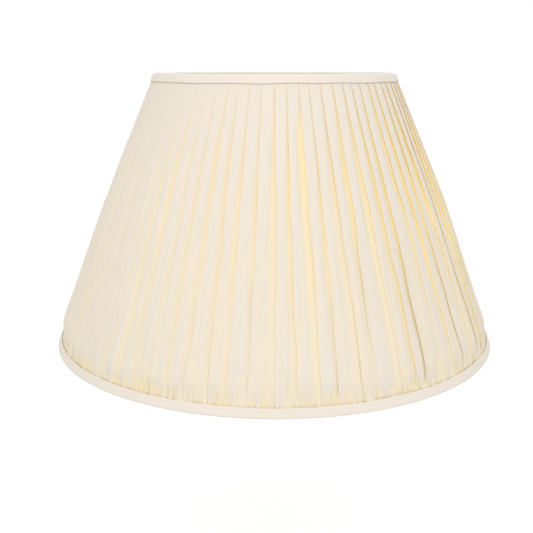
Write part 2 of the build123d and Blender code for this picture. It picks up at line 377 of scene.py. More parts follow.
THREAD_RELIEF = 0.25 * MM
# Painted glow in the deepest folds, standing in for light that comes through the cloth.
PAINTED_FOLD_GLOW = (0.105, 0.09, 0.036)


def cloth(
    name, pale, shade, valley=None, deep=None, threads=2600.0, angle=0.0, slubs=0.5, bump=0.25, sheen=0.15,
):
    """Woven cloth, from pale to shade thread by thread, and on to painted valley and deep shade inside folds,
    with a painted glow in the deepest.
    """
    material = bpy.data.materials.new(name)
    material.use_nodes = True
    tree = material.node_tree
    surface = tree.nodes["Principled BSDF"]
    weave = tree.nodes.new("ShaderNodeGroup")
    weave.node_tree = WEAVE
    plug(tree, weave.inputs["Vector"], output(add_node(tree, "ShaderNodeUVMap", {"uv_map": "cloth"})))
    weave.inputs["Threads per metre"].default_value = threads
    weave.inputs["Angle"].default_value = angle
    weave.inputs["Slubs"].default_value = slubs
    tone = output(weave, "Tone")
    colour = colour_mix(tree, (tone * 1.5 + 0.4).step(0.0, 1.0), pale, shade)
    if valley:
        # Painted shade: the colour turns to valley and then to deep where the pleats' fold attribute is high.
        painted_shade = output(add_node(tree, "ShaderNodeAttribute", {"attribute_name": "painted_fold_shade"}), "Fac")
        colour = colour_mix(tree, painted_shade.step(0.02, 0.6), colour, valley)
        colour = colour_mix(tree, painted_shade.step(0.5, 1.0), colour, deep)
        # A painted glow where the folds are deepest, though the cloth is no lamp.
        glow = colour_mix(tree, painted_shade.step(0.6, 1.0), (0, 0, 0), PAINTED_FOLD_GLOW)
        plug(tree, surface.inputs["Emission Color"], glow)
        surface.inputs["Emission Strength"].default_value = 1.0
    plug(tree, surface.inputs["Base Color"], colour)
    plug(tree, surface.inputs["Roughness"], tone * 0.1 + 0.86)
    surface.inputs["Sheen Weight"].default_value = sheen
    surface.inputs["Sheen Roughness"].default_value = 0.6
    surface.inputs["Specular IOR Level"].default_value = 0.25
    relief = add_node(
        tree, "ShaderNodeBump", Strength=bump, Distance=THREAD_RELIEF, Height=output(weave, "Height"),
    )
    plug(tree, surface.inputs["Normal"], output(relief, "Normal"))
    return material


# The valley and deep colours are painted shade for the cover's folds.
COVER_CLOTH = cloth(
    "cover_cloth", (0.835, 0.76, 0.66), (0.795, 0.71, 0.595),
    valley=(0.885, 0.765, 0.54), deep=(0.88, 0.76, 0.45),
)
BINDING_CLOTH = cloth(
    "binding_cloth", (0.85, 0.785, 0.695), (0.80, 0.725, 0.63),
    threads=2300.0, angle=math.radians(45), slubs=0.3,
)
LINING_CLOTH = cloth(
    "lining_cloth", (0.90, 0.87, 0.80), (0.87, 0.83, 0.75),
    threads=4200.0, slubs=0.1, bump=0.12, sheen=0.3,
)
TAPE_CLOTH = cloth("tape_cloth", (0.87, 0.84, 0.76), (0.80, 0.76, 0.68), threads=1800.0)
print("four cloths")

# %% [markdown]
# ## The pleated cover
# A knife pleat is cloth folded back on itself twice. Its face runs from a free edge, under the
# next pleat's free edge, to a hidden fold, and its return comes back out to that next edge. At
# the small top rim the pleats overlap deeply. The same width of cloth has to reach round the
# wide bottom rim, so lower down each pleat opens, and its folds turn soft.
#
# Each point's place therefore follows a rule in two numbers: how far along the cloth, and how
# far down the slope. A flat grid bent by that rule in Geometry Nodes is the natural tool. Each
# pleat draws its own random widths from a fixed seed, as no two hand-laid pleats are alike.

# %% Sizes of the cover
PLEATS_ALL_ROUND = 76
PANELS = ("back", "left", "front", "right")
PLEATS_PER_PANEL = PLEATS_ALL_ROUND // len(PANELS)
COLUMNS_PER_PLEAT = 34
COVER_ROWS = 84
COVER_OUT = 2.65 * MM
COVER_TOP_Z = RIM_Z - 3.2 * MM
COVER_BOTTOM_Z = 3.2 * MM
UNDERLAP = 5.8 * MM
PITCH_TOP = math.tau * on_slope(COVER_OUT, COVER_TOP_Z) / PLEATS_ALL_ROUND
CLOTH_PER_PLEAT = PITCH_TOP + 2 * UNDERLAP
SLANT = (COVER_TOP_Z - COVER_BOTTOM_Z) / math.cos(SLOPE)
print(f"pitch at the top {PITCH_TOP / MM:.1f} mm, cloth in each pleat {CLOTH_PER_PLEAT / MM:.1f} mm")
print(f"slant of the cover {SLANT:.3f} m")

# %% [markdown]
# The tree's sums come in five steps: where each free edge lies, how far the cloth has walked
# round its folds, how proud it stands, the small puckers and creases, and how much painted shade
# each point gets for lying deep in a fold. The numbers that shape a pleat are named here in
# millimetres or in shares of the pleat's pitch or of the way down.

# %% Sizes of a fold
EDGE_CROWDING = 0.6
DRIFT = 0.45
PRESSED = 1.1 * MM
SMALLEST_UNDERLAP = 0.7 * MM
SHARP_EDGE = 0.8 * MM
HIDDEN_FOLD = 1.5 * MM
CLOSED_DIP = 0.80
PUCKER_HEIGHT = 1.7 * MM
WRINKLE_HEIGHT = 0.7 * MM
SOFTNESS = 1.8 * MM
BULGE = 1.5 * MM
BULGE_TURN = math.pi / 1.24
FOOT_RADIUS, DROP = 0.222, 0.285
AT_TOP_RIM = 0.55 * MM
MORE_AT_BOTTOM_RIM = 0.45 * MM
TOP_SEAM = 4.4 * MM
BOTTOM_SEAM = 6.0 * MM


# %% The pleat tree
def make_pleats():
    tree, given = new_tree("knife pleats", {
        "Pleats": "Int", "First Pleat": "Float", "Pleats All Round": "Float",
        "Columns": "Int", "Rows": "Int",
        "Top Radius": "Float", "Top Height": "Float", "Bottom Radius": "Float", "Bottom Height": "Float",
        "Slope": "Float", "Underlap": "Float", "Seed": "Int", "Material": "Material",
    })
    grid = add_node(
        tree, "GeometryNodeMeshGrid", Size_X=1.0, Size_Y=1.0,
        Vertices_X=given["Columns"], Vertices_Y=given["Rows"],
    )
    position = output(tree.nodes.new("GeometryNodeInputPosition"))
    place = add_node(tree, "ShaderNodeSeparateXYZ", Vector=position)
    along = (output(place, "X") + 0.5) * given["Pleats"] + given["First Pleat"]
    down = 0.5 - output(place, "Y")
    index = along.math("FLOOR")
    even = along - index

    def number(which):
        """A pleat's number, counted on round the shade from one panel to the next."""
        return which.math("FLOORED_MODULO", given["Pleats All Round"])

    def own(which, low, high, salt):
        """A random value of a pleat's own, the same wherever that pleat is asked for."""
        node = add_node(
            tree, "FunctionNodeRandomValue", {"data_type": "FLOAT"},
            Min=low, Max=high, ID=number(which), Seed=given["Seed"] + salt,
        )
        return output(node)

    # Columns crowd together at the free edge, where the cloth turns sharply.
    share = even - (even * math.tau).math("SINE") * (EDGE_CROWDING / math.tau)
    radius = given["Top Radius"].to(given["Bottom Radius"], down)
    height = given["Top Height"].to(given["Bottom Height"], down)
    turn = math.tau / PLEATS_ALL_ROUND

    def free_edge(which):
        """Angle of a pleat's free edge at this height."""
        drift = noise(tree, vector(tree, number(which) * 3.7, down * 3.2, 1.5))
        lean = own(which, -0.10, 0.10, 1).to(own(which, -0.30, 0.30, 2), down)
        return (which + lean + drift * down.step(0.05, 0.6) * DRIFT) * turn

    here = free_edge(index)
    after = free_edge(index + 1)
    pitch = (after - here) * radius
    top_pitch = own(index + 1, -0.10, 0.10, 1) - own(index, -0.10, 0.10, 1) + 1
    top_pitch = top_pitch * turn * given["Top Radius"]
    cut = top_pitch + given["Underlap"] * own(index, 1.7, 2.3, 3)
    under = ((cut - pitch) * 0.5).math("MAXIMUM", SMALLEST_UNDERLAP)
    whole = pitch + under * 2
    walked = share * whole
    reach = pitch + under

    def roundness(which):
        """How far from a free edge the cloth starts to turn."""
        return own(which, 0.8 * MM, 3.4 * MM, 4) * down.step(0.1, 0.85) + SHARP_EDGE

    def rounding(distance, width):
        """What a rounded corner adds to a sharp one, this distance from it."""
        short = (width - distance.math("ABSOLUTE")).math("MAXIMUM", 0.0)
        return short * short / (width * 2)

    tight = roundness(index + 1).math("MINIMUM", under)
    inner_fold = (under * 0.6).math("MINIMUM", HIDDEN_FOLD)
    sideways = reach - (walked - reach).math("ABSOLUTE") - rounding(walked - reach, inner_fold)
    sideways = sideways + rounding(walked, roundness(index).math("MINIMUM", under))
    sideways = sideways + rounding(whole - walked, tight)

    def proud(which):
        """How far a free edge stands out: pressed flat at the rims, free between them."""
        free = own(which, 1.9 * MM, 3.5 * MM, 5)
        foot = own(which, 0.5 * MM, 2.4 * MM, 6)
        return (down.step(-0.02, 0.45) * (free - PRESSED) + PRESSED).to(foot, down.step(0.45, 0.95))

    on_face = sideways / pitch
    # Each fold opens into a valley, at a height and from a place on the face of its own.
    opening = down.step(own(index, -0.12, 0.08, 11), own(index, 0.20, 0.55, 12))
    dip_start = (own(index, 0.38, 0.64, 7) - CLOSED_DIP) * opening + CLOSED_DIP
    dip = on_face.step(dip_start, dip_start + own(index, 0.32, 0.7, 8))
    dip_depth = own(index, 0.60, 0.95, 9).to(1.0, down.step(0.5, 0.2))
    face = proud(index) * (1 - dip * dip_depth) * (1 - on_face * 0.18)
    back = ((walked - reach) / under).math("MAXIMUM", 0.0).math("POWER", 1.4)
    returning = (walked - reach).math("GREATER_THAN", 0.0)
    level = face.to(proud(index + 1) * back, returning)

    # Small puckers where the fullness is taken in at the bottom rim, and creases above them.
    angle = here + sideways / radius
    flat = vector(tree, angle.math("COSINE") * FOOT_RADIUS, angle.math("SINE") * FOOT_RADIUS, down * DROP)

    def creases(scale, stretch, offset, width=0.13):
        """Thin lines that run up the cloth, 1 on a line and 0 away from it."""
        spot = vector(tree, angle.math("COSINE") * scale, angle.math("SINE") * scale, down * stretch + offset)
        return noise(tree, spot, detail=1.0).math("ABSOLUTE").step(0.0, width, 1.0, 0.0)

    tuft = noise(tree, flat, scale=55.0, detail=1.0)
    above_rim = (1 - down) * SLANT
    reach_up = (tuft.step(-0.2, 0.25) * 34 + 9) * MM
    pucker = creases(54.0, 2.6, 0.0, 0.16) * (above_rim / reach_up).step(1.15, 0.1)
    wrinkle = creases(17.0, 1.6, 9.0) * down.step(0.2, 0.75)
    soft = noise(tree, flat, scale=26.0, detail=2.0)
    level_with = proud(index).to(proud(index + 1), on_face.math("MINIMUM", 1.0))
    sunk = (level_with - level) / (2.9 * MM)
    level = level - wrinkle * WRINKLE_HEIGHT + soft * SOFTNESS * down.step(0.05, 0.4)
    fullness = (down * BULGE_TURN).math("MINIMUM", math.pi / 2).math("SINE") * BULGE
    fullness = fullness + down.step(0.0, 0.6) * BULGE
    held = above_rim.step(7 * MM, 24 * MM) * (down * SLANT).step(4 * MM, 12 * MM, 0.35, 1.0)
    level = (down * MORE_AT_BOTTOM_RIM + AT_TOP_RIM).to(level + fullness, held) - pucker * PUCKER_HEIGHT

    # Painted shade for the colour, from how deep in a fold each point lies; it is weaker lower down.
    covered = (walked / pitch).step(0.95, 1.25)
    hidden = (whole - walked).step(0.0, 0.5 * MM)
    warmth = down.step(0.10, 0.85, 1.12, 0.66) * own(index, 0.70, 1.12, 10)
    pocket = (dip * 0.56 + sunk.step(0.0, 1.1) * 0.15) * warmth + covered * 0.55
    painted_shade = pocket * hidden.to(1.0, 1 - returning)
    # Painted shade lines along each free edge near the top, in the puckers and in the creases.
    painted_shade = painted_shade.math("MAXIMUM", walked.step(1.4 * MM, 0.1 * MM) * down.step(-0.1, 0.12) * 0.43)
    painted_shade = painted_shade.math("MAXIMUM", pucker * 0.8).math("MAXIMUM", wrinkle * 0.3)
    # Painted shade where the cover tucks under a binding.
    tucked = (above_rim - BOTTOM_SEAM).step(1.1 * MM, 0.2 * MM)
    tucked = tucked.math("MAXIMUM", (down * SLANT - TOP_SEAM).step(1.0 * MM, 0.2 * MM))
    painted_shade = painted_shade.math("MAXIMUM", tucked * 0.7)

    out = radius + level * given["Slope"].math("COSINE")
    raised = height + level * given["Slope"].math("SINE")
    bent = vector(tree, out * angle.math("COSINE"), out * angle.math("SINE"), raised)
    cloth_place = vector(tree, (index + share) * CLOTH_PER_PLEAT, down * -SLANT, 0.0)
    shape = Field(tree, grid.outputs["Mesh"])
    for label, kind, domain, value in (
        ("cloth", "FLOAT2", "CORNER", cloth_place),
        ("painted_fold_shade", "FLOAT", "POINT", painted_shade),
    ):
        stored = add_node(
            tree, "GeometryNodeStoreNamedAttribute", {"data_type": kind, "domain": domain},
            Geometry=shape, Name=label, Value=value,
        )
        shape = output(stored)
    shape = output(add_node(tree, "GeometryNodeSetPosition", Geometry=shape, Position=bent))
    finish_tree(tree, shape, given["Material"])
    return tree


PLEATS = make_pleats()

# %% Grow the four panels
PANEL_START = 0.86
COVER_SEED = 5
for number, side in enumerate(PANELS):
    panel = grown(f"pleated_cover_{side}", PLEATS, {
        "Pleats": PLEATS_PER_PANEL,
        "First Pleat": PLEATS_PER_PANEL / 2 + number * PLEATS_PER_PANEL + PANEL_START - 1,
        "Pleats All Round": PLEATS_ALL_ROUND,
        "Columns": PLEATS_PER_PANEL * COLUMNS_PER_PLEAT + 1,
        "Rows": COVER_ROWS + 1,
        "Top Radius": on_slope(COVER_OUT, COVER_TOP_Z),
        "Top Height": COVER_TOP_Z,
        "Bottom Radius": on_slope(COVER_OUT, COVER_BOTTOM_Z),
        "Bottom Height": COVER_BOTTOM_Z,
        "Slope": SLOPE,
        "Underlap": UNDERLAP,
        "Seed": COVER_SEED,
        "Material": COVER_CLOTH,
    })
    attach(panel, "shade")
    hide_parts(f"cover_panel_{side}")
    PLEATS_PER_PANEL * CLOTH_PER_PLEAT

# %% [markdown]
# ## Meshes from rows of points
# The smaller cloth pieces are rows of points joined into a sheet or a closed ring. One helper
# joins them, lays the cloth's own coordinates on them, and turns their faces outwards. Those
# coordinates are in metres of cloth, so that a thread is the same size on every piece.

# %% Rows of points to a piece
def woven(name, rows, cloth_rows, material, around=False, closed_rows=False):
    """A mesh of quads between rows of points. Rows or their points may close into a ring.

    Rows that close need one row more of places on the cloth than of points.
    """
    mesh = bpy.data.meshes.new(name)
    count, width = len(rows), len(rows[0])
    faces = []
    places = []
    for i in range(count if closed_rows else count - 1):
        for k in range(width if around else width - 1):
            after, beside = (i + 1) % count, (k + 1) % width
            faces.append((i * width + k, after * width + k, after * width + beside, i * width + beside))
            near, far = cloth_rows[i], cloth_rows[i + 1]
            places += [near[k], far[k], far[beside], near[beside]]
    mesh.from_pydata([point for row in rows for point in row], [], faces)
    layer = mesh.uv_layers.new(name="cloth")
    layer.data.foreach_set("uv", [number for place in places for number in place])
    mesh.materials.append(material)
    form = bmesh.new()
    form.from_mesh(mesh)
    bmesh.ops.recalc_face_normals(form, faces=form.faces)
    form.to_mesh(mesh)
    form.free()
    mesh.shade_smooth()
    piece = bpy.data.objects.new(name, mesh)
    bpy.context.scene.collection.objects.link(piece)
    print(f"{name}: {len(mesh.polygons)} faces, {[round(x, 3) for x in piece.dimensions]} m")
    return piece


def wander(x, y, salt):
    """A smooth random value, from about -1 to 1."""
    return lumps.noise(Vector((x, y, salt)))


# %% [markdown]
# ## Bias binding
# A strip cut on the diagonal stretches round a curve without pleating. It is folded over the
# rim, with its raw edges turned in, so it is thickest along its two edges. A middle line is
# drawn in section, given a thickness at each place, and carried round the rim while its edge
# wanders by half a millimetre, as it does on a strip that was glued and sewn by hand.

# %% The middle line of a folded strip
HEM_STATIONS = (0.0, 0.08, 0.22, 0.45, 0.8, 1.4, 2.2, 3.2)
STRIP_HALF = 0.42 * MM
LEAF_IN = -3.5 * MM
FOLD_STEPS = 12
FOLD_SQUARENESS = 0.7


def middle_line(leaf_out, outer_edge, inner_edge, foot):
    """Points (out, distance from the rim) from the outer edge of a folded strip to the inner one."""
    centre, reach = (leaf_out + LEAF_IN) / 2, (leaf_out - LEAF_IN) / 2
    outer = [outer_edge - d * MM for d in HEM_STATIONS]
    outer += [outer[-1] + (foot - outer[-1]) * i / 3 for i in (1, 2)]
    inner = [inner_edge - d * MM for d in HEM_STATIONS[:-1]]
    fold = []
    for i in range(FOLD_STEPS + 1):
        turn = math.pi * i / FOLD_STEPS
        across = math.copysign(abs(math.cos(turn)) ** FOLD_SQUARENESS, math.cos(turn))
        deep = math.sin(turn) ** FOLD_SQUARENESS
        fold.append((centre + reach * across, foot - (foot - STRIP_HALF) * deep))
    return [(leaf_out, h) for h in outer] + fold + [(LEAF_IN, h) for h in reversed(inner)]


def strip_half(from_edge):
    """Half the strip's thickness, from its distance to an edge in millimetres.

    The turned-in hem makes it thicker, and the edge itself is rounded.
    """
    hem = 1 + 0.9 * (1 - min(max((from_edge - 1.1) / 1.5, 0), 1)) ** 2
    round_edge = math.sqrt(max(1 - (1 - min(from_edge / 0.8, 1)) ** 2, 0))
    return STRIP_HALF * hem * round_edge


# %% A strip folded over a rim
LEAF_OUT = {"bottom": 4.3 * MM, "top": 3.8 * MM}
STRIP_FOOT = 2.1 * MM
STRIP_STEP = 1.35 * MM
WAVE_LENGTH = 0.03
PUFF = 0.28 * MM
CREASE = 0.10 * MM
LAP_HALF, LAP_FADE, LAP_RISE = 1.6 * MM, 2 * MM, 0.3 * MM


def folded_strip(name, outer_edge, inner_edge, top, salt):
    """Binding round a rim. `top` says that it hangs down from the small rim."""
    leaf_out = LEAF_OUT["top" if top else "bottom"]
    line = middle_line(leaf_out, outer_edge, inner_edge, STRIP_FOOT)
    walked = [0.0]
    for a, b in zip(line, line[1:]):
        walked.append(walked[-1] + math.dist(a, b))
    mean = on_slope(leaf_out, RIM_Z if top else 0.0)
    count = round(math.tau * mean / STRIP_STEP)
    rows, cloth_rows = [], []
    for i in range(count):
        turn = math.tau * i / count
        x, y = math.cos(turn) * mean / WAVE_LENGTH, math.sin(turn) * mean / WAVE_LENGTH
        edge_wave = wander(x, y, salt) * 0.55 * MM + wander(x * 3, y * 3, salt + 1) * 0.2 * MM
        rim_wave = wander(x * 0.6, y * 0.6, salt + 2) * 0.35 * MM
        arc = turn * mean
        outside, inside, cloth_out, cloth_in = [], [], [], []
        for k, (out, height) in enumerate(line):
            before, after = line[max(k - 1, 0)], line[min(k + 1, len(line) - 1)]
            run = Vector((after[0] - before[0], after[1] - before[1])).normalized()
            side = Vector((-run.y, run.x))
            half = strip_half(min(walked[k], walked[-1] - walked[k]) / MM)
            crease = wander(x * 9 + out * 400, y * 9, salt + 3 + height * 30) * CREASE
            puff = PUFF * math.sin(math.pi * min(walked[k] / (outer_edge * 1.05), 1)) if out > 0 else 0
            # The strip's two ends meet on a diagonal, one over the other.
            join = LAP_HALF - abs(arc - mean * math.pi / 2 - walked[k])
            lap = LAP_RISE * min(max((join + 3 * MM) / LAP_FADE, 0), 1)
            level = out + puff + crease + lap * side.x
            share = height / outer_edge
            wave = edge_wave * max(share, 0) * (1 if out > 0 else 0.6)
            wave += rim_wave * (1 - min(share, 1)) * (1 if top else 0)
            for points, cloths, offset in ((outside, cloth_out, half), (inside, cloth_in, -half)):
                h = height + wave + side.y * offset
                z = RIM_Z - h if top else h
                radius = on_slope(level + side.x * offset, z)
                points.append((radius * math.cos(turn), radius * math.sin(turn), z))
                cloths.append((arc, walked[k]))
        rows.append(outside + inside[::-1])
        cloth_rows.append(cloth_out + cloth_in[::-1])
    cloth_rows.append([(math.tau * mean, v) for _, v in cloth_rows[0]])
    piece = woven(name, rows, cloth_rows, BINDING_CLOTH, around=True, closed_rows=True)
    return piece, walked[-1], mean


# %% Bind the two rims
TURNED_IN = 3.2 * MM
STRIP_OVERLAP = 12 * MM
for name, node, outer_edge, inner_edge, top, salt in (
    ("bottom_rim_binding", "bottom_binding", 8.9 * MM, 6.9 * MM, False, 11.0),
    ("top_rim_binding", "top_binding", 7.8 * MM, 6.8 * MM, True, 31.0),
):
    strip, across, mean = folded_strip(name, outer_edge, inner_edge, top, salt)
    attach(strip, "shade")
    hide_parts(node)
    across + 2 * TURNED_IN
    math.tau * mean + STRIP_OVERLAP
    "bottom_ring" if node == "bottom_binding" else "top_ring"
    print(f"{name}: finished strip {across / MM:.1f} mm across")

# %% [markdown]
# ## Lining
# The lining is smooth cloth pulled tight inside the struts, in two halves that meet on two
# opposite struts. Pulled between two rings it is nearly a plain cone. What shows that it is
# cloth is a row of small tension creases from the sewing at each rim, and the seam, where each
# half turns back on itself towards the strut.

# %% Sizes of the lining
LINING_OUT = -2.8 * MM
LINING_LOW, LINING_HIGH = 2.2 * MM, RIM_Z - 2.2 * MM
LINING_COLUMNS, LINING_ROWS = 260, 70
RIM_CROWDING = 0.6
SEAM_TURN = math.radians(22.5)
SEAM_ROUND = 0.5 * MM
SEAM_WIDTH = 3 * MM
SEAM_RISE = 0.3 * MM
TURNED_BACK = 0.35 * MM
ALLOWANCE = 5 * MM
PULL_TOP, PULL_BOTTOM = 0.016, 0.02
PULL_SIZE, PULL_DEPTH = 6 * MM, 0.45 * MM
SLACK_SIZE, SLACK_DEPTH = 50 * MM, 0.5 * MM
MOST_OUT = 0.12 * MM

lining_slant = (LINING_HIGH - LINING_LOW) / math.cos(SLOPE)
print(f"lining slant {lining_slant:.3f} m")


# %% A stretched half
def lining_half(name, start, salt):
    """Half the lining, from one seam strut to the other, each side edge turned back on itself."""
    rows, cloth_rows = [], []
    for j in range(LINING_ROWS + 1):
        down = j / LINING_ROWS
        down = down - math.sin(math.tau * down) * RIM_CROWDING / math.tau
        z = LINING_HIGH + (LINING_LOW - LINING_HIGH) * down
        radius = on_slope(LINING_OUT, z)
        width = math.pi * radius
        near_rim = math.exp(-down * lining_slant / PULL_TOP)
        near_rim += math.exp((down - 1) * lining_slant / PULL_BOTTOM)
        row, cloth_row = [], []
        for i in range(LINING_COLUMNS + 1):
            across = -ALLOWANCE + (width + 2 * ALLOWANCE) * i / LINING_COLUMNS
            past = max(-across, across - width, 0)
            place = abs(across) if across < width else 2 * width - across
            turn = start + place / radius
            x, y = math.cos(turn) * radius, math.sin(turn) * radius
            pull = wander(x / PULL_SIZE, y / PULL_SIZE, salt) * near_rim * PULL_DEPTH
            slack = wander(x / SLACK_SIZE, y / SLACK_SIZE, salt + down * 1.5) * SLACK_DEPTH
            slack *= math.sin(math.pi * down)
            seam = max(1 - place / SEAM_WIDTH, 0, 1 - (width - place) / SEAM_WIDTH)
            behind = min(past / SEAM_ROUND, 1) * TURNED_BACK
            level = pull + slack * (1 - seam) + behind + seam ** 2 * SEAM_RISE
            edge = on_slope(LINING_OUT + min(level, MOST_OUT + behind), z)
            row.append((edge * math.cos(turn), edge * math.sin(turn), z))
            cloth_row.append((across + (1 - radius / BOTTOM_RADIUS) * width / 2, -down * lining_slant))
        rows.append(row)
        cloth_rows.append(cloth_row)
    return woven(name, rows, cloth_rows, LINING_CLOTH)


# %% Cut and stretch both halves
def cone_piece(low_radius, high_radius, slant, turn):
    """Flat bounding width, length and area of a piece of a cone, cut from cloth laid flat."""
    outer = slant * low_radius / (low_radius - high_radius)
    inner = outer - slant
    half = turn * low_radius / outer / 2
    return 2 * outer * math.sin(half), outer - inner * math.cos(half), half * (outer ** 2 - inner ** 2)


low_radius, high_radius = (on_slope(LINING_OUT, z) for z in (LINING_LOW, LINING_HIGH))
lining_cut = cone_piece(low_radius, high_radius, lining_slant, math.pi)
flat_area = lining_cut[2] + 2 * ALLOWANCE * lining_slant
print(f"each half is cut from {lining_cut[0]:.3f} by {lining_cut[1]:.3f} m, {flat_area:.4f} square metres")
for side, start in (("back", SEAM_TURN), ("front", SEAM_TURN + math.pi)):
    half = lining_half(f"stretched_lining_{side}", start, 51.0 if side == "back" else 61.0)
    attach(half, "shade")
    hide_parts(f"lining_{side}")
    lining_cut[0] + 2 * ALLOWANCE

# %% [markdown]
# ## Wound tape
# Cloth can't be sewn to bare wire, so cotton tape is wound round it in a spiral, each turn
# over part of the last. A ribbon that follows a path and turns about it is a job for Geometry
# Nodes: the path is a curve, and one tree winds the hoops and the struts alike.

# %% The winding tree
ROWS_ACROSS_TAPE = 6
RAGGED_ALONG, RAGGED_OUT = 0.06, 0.2


def make_winding():
    tree, given = new_tree("wound tape", {
        "Path": "Geometry", "Turns": "Int", "Tape Along Path": "Float", "Inner Radius": "Float",
        "Rise": "Float", "Steps": "Int", "Material": "Material",
    })

    def joined(operation, first, second):
        node = add_node(tree, "ShaderNodeVectorMath", {"operation": operation})
        plug(tree, node.inputs[0], first)
        plug(tree, node.inputs[1], second)
        return output(node)

    def scaled(direction, amount):
        node = add_node(tree, "ShaderNodeVectorMath", {"operation": "SCALE"}, Scale=amount)
        plug(tree, node.inputs[0], direction)
        return output(node)

    grid = add_node(
        tree, "GeometryNodeMeshGrid", Size_X=1.0, Size_Y=1.0,
        Vertices_X=given["Turns"] * given["Steps"] + 1, Vertices_Y=ROWS_ACROSS_TAPE,
    )
    position = output(tree.nodes.new("GeometryNodeInputPosition"))
    place = add_node(tree, "ShaderNodeSeparateXYZ", Vector=position)
    along = output(place, "X") + 0.5
    across = output(place, "Y")
    length = output(add_node(tree, "GeometryNodeCurveLength", Curve=given["Path"]))
    edge = noise(tree, vector(tree, along * given["Turns"] * 1.7, across * 2.0, 4.0), detail=2.0)
    spot = along * length + (across + edge * RAGGED_ALONG) * given["Tape Along Path"]
    spot = spot.math("MAXIMUM", 0.0).math("MINIMUM", length)
    sample = add_node(tree, "GeometryNodeSampleCurve", {"mode": "LENGTH"}, Curves=given["Path"], Length=spot)
    normal = output(sample, "Normal")
    beside = joined("CROSS_PRODUCT", output(sample, "Tangent"), normal)
    turned = along * given["Turns"] * math.tau
    away = given["Inner Radius"] + given["Rise"] * (0.5 - across + edge * RAGGED_OUT)
    ring = joined(
        "ADD", scaled(normal, turned.math("COSINE") * away), scaled(beside, turned.math("SINE") * away),
    )
    wound = along * given["Turns"] * given["Inner Radius"] * math.tau
    stored = add_node(
        tree, "GeometryNodeStoreNamedAttribute", {"data_type": "FLOAT2", "domain": "CORNER"},
        Geometry=Field(tree, grid.outputs["Mesh"]), Name="cloth",
        Value=vector(tree, wound, across * given["Tape Along Path"], 0.0),
    )
    shape = add_node(
        tree, "GeometryNodeSetPosition",
        Geometry=output(stored), Position=joined("ADD", output(sample, "Position"), ring),
    )
    finish_tree(tree, output(shape), given["Material"])
    return tree


WINDING = make_winding()
print("winding tree with", len(WINDING.nodes), "nodes")


# %% Paths to wind
HOOP_POINTS = 180
CLEAR_OF_RING = 2.6 * MM


def path_curve(name, points, closed):
    """A curve through these points, for a tree to follow."""
    curve = bpy.data.curves.new(name, "CURVE")
    curve.dimensions = "3D"
    line = curve.splines.new("POLY")
    line.points.add(len(points) - 1)
    for spot, place in zip(line.points, points):
        spot.co = (*place, 1)
    line.use_cyclic_u = closed
    return curve


def hoop(radius, z):
    """Points round a ring of wire."""
    turns = [math.tau * i / HOOP_POINTS for i in range(HOOP_POINTS)]
    return [(radius * math.cos(turn), radius * math.sin(turn), z) for turn in turns]


def strut_run(turn):
    """A strut's middle line, short of the tape on the two rings."""
    ends = [(on_slope(0, z), z) for z in (BOTTOM_Z + CLEAR_OF_RING, TOP_Z - CLEAR_OF_RING)]
    return [(radius * math.cos(turn), radius * math.sin(turn), z) for radius, z in ends]


# %% Wind the hoops and the two seam struts
TAPE_WIDTH = 13 * MM
ADVANCE = 9 * MM
TAPE_RISE = 0.34 * MM
STEPS_PER_TURN = 14
ON_RING, ON_STRUT = 2.06 * MM, 1.55 * MM
WOUND = (
    ("bottom_ring_winding", "bottom_ring_tape", "bottom_ring", hoop(BOTTOM_RADIUS, BOTTOM_Z), True, ON_RING),
    ("top_ring_winding", "top_ring_tape", "top_ring", hoop(TOP_RADIUS, TOP_Z), True, ON_RING),
    ("strut_winding_right", "strut_tape_right", "strut_1", strut_run(SEAM_TURN), False, ON_STRUT),
    ("strut_winding_left", "strut_tape_left", "strut_5", strut_run(SEAM_TURN + math.pi), False, ON_STRUT),
)
for name, node, wire, points, closed, radius in WOUND:
    run = sum(math.dist(a, b) for a, b in zip(points, points[1:] + points[:1] if closed else points[1:]))
    turns = round(run / ADVANCE)
    around = math.tau * (radius + TAPE_RISE / 2)
    one_turn = math.hypot(around, run / turns)
    tape = grown(name, WINDING, {
        "Turns": turns, "Tape Along Path": TAPE_WIDTH * one_turn / around, "Inner Radius": radius,
        "Rise": TAPE_RISE, "Steps": STEPS_PER_TURN, "Material": TAPE_CLOTH,
    }, path=path_curve(name, points, closed))
    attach(tape, "shade")
    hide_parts(node)
    print(f"{name}: {turns} turns, {turns * one_turn:.2f} m of tape")

# %% [markdown]
# ## Lug sleeves
# Each gimbal lug comes through the lining beside its weld. A short tube of lining cloth covers
# it there, with its free end turned back inside.

# %% A folded tube on each lug
SLEEVE_WALL = 0.22 * MM
SLEEVE_STEPS = 12
SLEEVE_COLUMNS = 48
SLEEVE_SQUARENESS = 0.45
END_STATIONS = (0.15, 0.5, 0.85)
END_BULGE = 0.2 * MM
PUCKER_DEPTH, PUCKER_MOST = 0.12 * MM, 0.05 * MM


